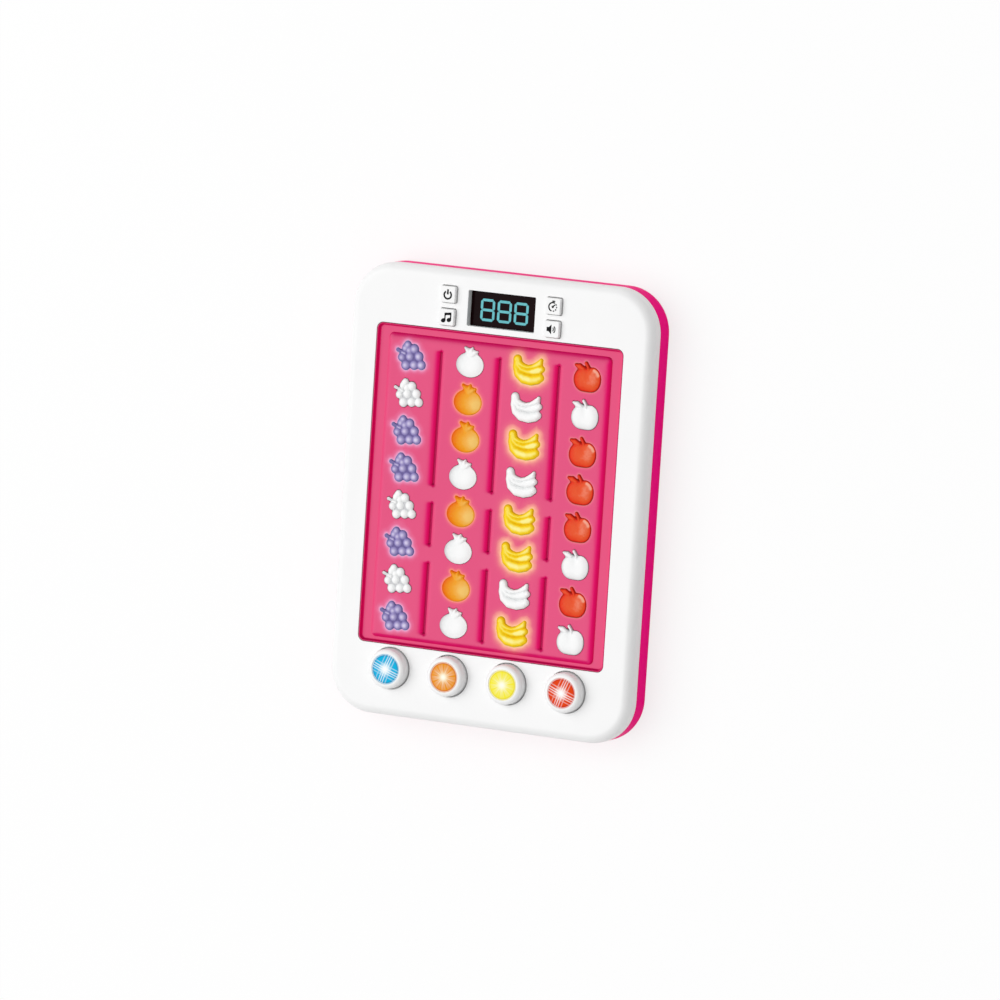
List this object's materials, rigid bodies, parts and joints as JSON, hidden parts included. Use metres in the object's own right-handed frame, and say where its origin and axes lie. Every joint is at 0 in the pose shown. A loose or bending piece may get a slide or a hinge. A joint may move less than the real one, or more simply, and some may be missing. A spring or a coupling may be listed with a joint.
{
  "type": "electronic rhythm game",
  "caption": "Tablet-shaped electronic rhythm game with lanes of light-up fruit windows, round play buttons, square option keys and a small digit display.",
  "frame": {"origin": "under the middle of the case, on the plane that the rubber feet stand on, play face up", "axes": "+X to the right of the play face, +Y towards the display, +Z out of the play face"},
  "size_m": [0.137, 0.1862, 0.0241],
  "materials": {
    "shell_white": "polished white moulding",
    "case_magenta": "polished magenta moulding",
    "panel_pink": "semi-gloss pink moulding",
    "inner_white": "plain inner moulding",
    "window_grape": "lit from inside",
    "window_orange": "lit from inside",
    "window_banana": "lit from inside",
    "window_apple": "lit from inside",
    "window_white": "milky, lamp off",
    "display_dark": "tinted, glossy",
    "display_digits": "lit segments",
    "display_body": "plain",
    "print_black": "printed symbol",
    "lens_blue": "clear tint, lit",
    "lens_orange": "clear tint, lit",
    "lens_yellow": "clear tint, lit",
    "lens_red": "clear tint, lit",
    "silicone": "soft translucent",
    "rubber_black": "matte",
    "board_green": "solder mask",
    "speaker_metal": "dull",
    "battery_foil": "satin foil",
    "steel": "plated",
    "ribbon_film": "smooth film",
    "wire_jacket": "smooth"
  },
  "bodies": {
    "case": {"front_shell": "shell_white", "rear_shell": "case_magenta", "fruit_panel": "panel_pink", "light_baffle": "inner_white", "led_board": "board_green", "main_board": "board_green", "play_board": "board_green", "display_window": "display_dark", "display_module": "display_body", "speaker": "speaker_metal", "battery_pack": "battery_foil", "charge_socket": "steel", "main_ribbon": "ribbon_film", "play_ribbon": "ribbon_film", "battery_lead": "wire_jacket", "speaker_lead": "wire_jacket", "grape_lens_strip": "window_grape", "orange_lens_strip": "window_orange", "banana_lens_strip": "window_banana", "apple_lens_strip": "window_apple", "play_dome_blue": "silicone", "play_dome_orange": "silicone", "play_dome_yellow": "silicone", "play_dome_red": "silicone", "key_dome_power": "silicone", "key_dome_music": "silicone", "key_dome_timer": "silicone", "key_dome_volume": "silicone", "shell_screw_1": "steel", "shell_screw_2": "steel", "shell_screw_3": "steel", "shell_screw_4": "steel", "shell_screw_5": "steel", "shell_screw_6": "steel", "board_screw_1": "steel", "board_screw_2": "steel", "board_screw_3": "steel", "board_screw_4": "steel", "board_screw_5": "steel", "board_screw_6": "steel", "board_screw_7": "steel", "board_screw_8": "steel", "rubber_foot_1": "rubber_black", "rubber_foot_2": "rubber_black", "rubber_foot_3": "rubber_black", "rubber_foot_4": "rubber_black"},
    "play_button_blue": {"play_cap_blue": "shell_white", "play_lens_blue": "lens_blue"},
    "play_button_orange": {"play_cap_orange": "shell_white", "play_lens_orange": "lens_orange"},
    "play_button_yellow": {"play_cap_yellow": "shell_white", "play_lens_yellow": "lens_yellow"},
    "play_button_red": {"play_cap_red": "shell_white", "play_lens_red": "lens_red"},
    "power_key": {"key_power": "shell_white"},
    "music_key": {"key_music": "shell_white"},
    "timer_key": {"key_timer": "shell_white"},
    "volume_key": {"key_volume": "shell_white"}
  },
  "joints": [
    {"name": "play_blue_press", "type": "slide", "parent": "case", "child": "play_button_blue", "axis": [0, 0, -1], "range_m": [0, 0.002], "stiffness_N_per_m": 400, "springref_m": -0.0001, "deforming": ["play_dome_blue"]},
    {"name": "play_orange_press", "type": "slide", "parent": "case", "child": "play_button_orange", "axis": [0, 0, -1], "range_m": [0, 0.002], "stiffness_N_per_m": 400, "springref_m": -0.0001, "deforming": ["play_dome_orange"]},
    {"name": "play_yellow_press", "type": "slide", "parent": "case", "child": "play_button_yellow", "axis": [0, 0, -1], "range_m": [0, 0.002], "stiffness_N_per_m": 400, "springref_m": -0.0001, "deforming": ["play_dome_yellow"]},
    {"name": "play_red_press", "type": "slide", "parent": "case", "child": "play_button_red", "axis": [0, 0, -1], "range_m": [0, 0.002], "stiffness_N_per_m": 400, "springref_m": -0.0001, "deforming": ["play_dome_red"]},
    {"name": "key_power_press", "type": "slide", "parent": "case", "child": "power_key", "axis": [0, 0, -1], "range_m": [0, 0.001], "stiffness_N_per_m": 300, "deforming": ["key_dome_power"]},
    {"name": "key_music_press", "type": "slide", "parent": "case", "child": "music_key", "axis": [0, 0, -1], "range_m": [0, 0.001], "stiffness_N_per_m": 300, "deforming": ["key_dome_music"]},
    {"name": "key_timer_press", "type": "slide", "parent": "case", "child": "timer_key", "axis": [0, 0, -1], "range_m": [0, 0.001], "stiffness_N_per_m": 300, "deforming": ["key_dome_timer"]},
    {"name": "key_volume_press", "type": "slide", "parent": "case", "child": "volume_key", "axis": [0, 0, -1], "range_m": [0, 0.001], "stiffness_N_per_m": 300, "deforming": ["key_dome_volume"]}
  ]
}
